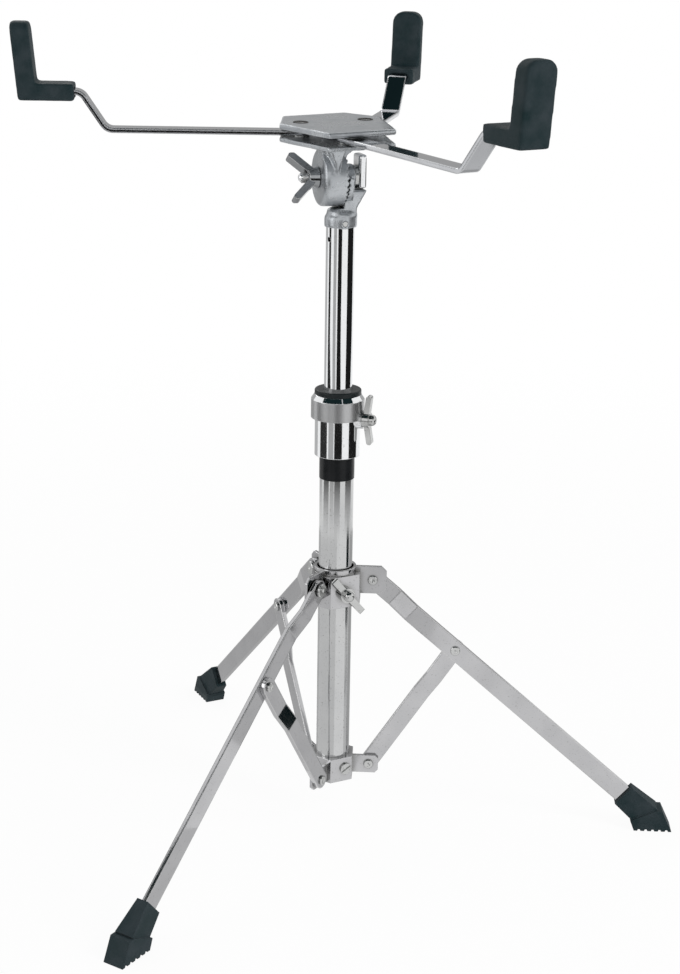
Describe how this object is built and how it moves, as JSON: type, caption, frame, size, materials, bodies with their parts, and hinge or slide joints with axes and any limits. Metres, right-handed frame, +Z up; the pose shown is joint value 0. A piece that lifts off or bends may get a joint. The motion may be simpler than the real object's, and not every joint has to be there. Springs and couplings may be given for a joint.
{
  "type": "snare drum stand",
  "caption": "Folding snare drum stand with a braced strip-leg tripod, telescopic mast, toothed tilter and a basket of bent arms with rubber tips.",
  "frame": {"origin": "on the floor, where the mast's axis meets it", "axes": "+Z up along the mast, -Y towards the picture's camera"},
  "size_m": [0.4299, 0.4098, 0.5281],
  "materials": {
    "chrome": "bright plated steel",
    "dull_chrome": "worn plating",
    "cast": "satin casting",
    "steel": "plain",
    "rubber": "matt black",
    "nylon": "semi-gloss black",
    "band": "black film, bare"
  },
  "bodies": {
    "mast": {"lower_tube": "dull_chrome", "foot_bracket": "dull_chrome", "bracket_screw": "steel", "bracket_rivets": "steel", "clamp_collar": "chrome", "mast_band": "band"},
    "collar": {"leg_collar": "dull_chrome", "collar_rivets": "steel"},
    "collar_screw": {"collar_wing_screw": "steel"},
    "clamp_screw": {"clamp_wing_screw": "steel"},
    "bush": {"clamp_bush": "nylon"},
    "upper_mast": {"upper_tube": "chrome", "socket_pin": "steel", "tilter_base": "cast", "tilter_bolt": "steel", "tilter_washer": "steel"},
    "tilter_nut": {"tilter_wing_nut": "steel"},
    "basket": {"tilter_head": "cast", "top_plate": "cast", "pivot_screws": "steel", "pivot_washers": "steel"},
    "brace_right": {"brace_right": "dull_chrome"},
    "leg_right": {"leg_right": "dull_chrome", "leg_rivet_right": "steel", "foot_right": "rubber"},
    "brace_back": {"brace_back": "dull_chrome"},
    "leg_back": {"leg_back": "dull_chrome", "leg_rivet_back": "steel", "foot_back": "rubber"},
    "brace_front": {"brace_front": "dull_chrome"},
    "leg_front": {"leg_front": "dull_chrome", "leg_rivet_front": "steel", "foot_front": "rubber"},
    "arm_left": {"arm_left": "chrome", "tip_left": "rubber"},
    "arm_right": {"arm_right": "chrome", "tip_right": "rubber"},
    "arm_back": {"arm_back": "chrome", "tip_back": "rubber"}
  },
  "joints": [
    {"name": "leg_fold", "type": "hinge", "parent": "mast", "child": "brace_right", "pos_m": [0.02436, -0.00136, 0.03737], "axis": [-0.0558, -0.9984, 0], "range_deg": [0, 23.7]},
    {"name": "leg_right_pivot", "type": "hinge", "parent": "brace_right", "child": "leg_right", "pos_m": [0.08063, -0.00451, 0.12441], "axis": [0.0558, 0.9984, 0], "range_deg": [0, 61.03]},
    {"name": "brace_back_fold", "type": "hinge", "parent": "mast", "child": "brace_back", "pos_m": [-0.011, 0.02178, 0.03737], "axis": [0.8926, 0.4509, 0], "range_deg": [0, 23.7]},
    {"name": "leg_back_pivot", "type": "hinge", "parent": "brace_back", "child": "leg_back", "pos_m": [-0.03641, 0.07208, 0.12441], "axis": [-0.8926, -0.4509, 0], "range_deg": [0, 61.03]},
    {"name": "brace_front_fold", "type": "hinge", "parent": "mast", "child": "brace_front", "pos_m": [-0.01336, -0.02042, 0.03737], "axis": [-0.8368, 0.5476, 0], "range_deg": [0, 23.7]},
    {"name": "leg_front_pivot", "type": "hinge", "parent": "brace_front", "child": "leg_front", "pos_m": [-0.04422, -0.06758, 0.12441], "axis": [0.8368, -0.5476, 0], "range_deg": [0, 61.03]},
    {"name": "collar_pivot", "type": "hinge", "parent": "leg_right", "child": "collar", "pos_m": [0.02476, -0.00138, 0.17238], "axis": [-0.0558, -0.9984, 0], "range_deg": [0, 37.33]},
    {"name": "collar_screw_turn", "type": "hinge", "parent": "collar", "child": "collar_screw", "pos_m": [0.00676, -0.01339, 0.16638], "axis": [0.4509, -0.8926, 0], "continuous": true},
    {"name": "clamp_screw_turn", "type": "hinge", "parent": "mast", "child": "clamp_screw", "pos_m": [0.01654, -0.00602, 0.28277], "axis": [0.9397, -0.342, 0], "continuous": true},
    {"name": "mast_swivel", "type": "hinge", "parent": "mast", "child": "bush", "pos_m": [0, 0, 0.29827], "axis": [0, 0, 1], "continuous": true},
    {"name": "height_slide", "type": "slide", "parent": "bush", "child": "upper_mast", "axis": [0, 0, 1], "range_m": [-0.1, 0.1]},
    {"name": "wing_nut_turn", "type": "hinge", "parent": "upper_mast", "child": "tilter_nut", "pos_m": [0, 0, 0.43587], "axis": [-0.9563, -0.2924, 0], "continuous": true},
    {"name": "basket_tilt", "type": "hinge", "parent": "upper_mast", "child": "basket", "pos_m": [0, 0, 0.43587], "axis": [0.9563, 0.2924, 0], "range_deg": [-45, 45]},
    {"name": "arm_left_swing", "type": "hinge", "parent": "basket", "child": "arm_left", "pos_m": [-0.02531, -0.00244, 0.46141], "axis": [0.0077, -0.025, 0.9997], "range_deg": [-30, 30]},
    {"name": "arm_right_swing", "type": "hinge", "parent": "basket", "child": "arm_right", "pos_m": [0.00279, -0.02883, 0.46053], "axis": [0.0077, -0.025, 0.9997], "range_deg": [-30, 30]},
    {"name": "arm_back_swing", "type": "hinge", "parent": "basket", "child": "arm_back", "pos_m": [0.0142, 0.01796, 0.46162], "axis": [0.0077, -0.025, 0.9997], "range_deg": [-30, 30]}
  ],
  "couplings": [
    {"joint": "leg_right_pivot", "follows": "leg_fold", "ratio": 2.5748},
    {"joint": "brace_back_fold", "follows": "leg_fold", "ratio": 1},
    {"joint": "leg_back_pivot", "follows": "leg_fold", "ratio": 2.5748},
    {"joint": "brace_front_fold", "follows": "leg_fold", "ratio": 1},
    {"joint": "leg_front_pivot", "follows": "leg_fold", "ratio": 2.5748},
    {"joint": "collar_pivot", "follows": "leg_fold", "ratio": 1.5748}
  ]
}
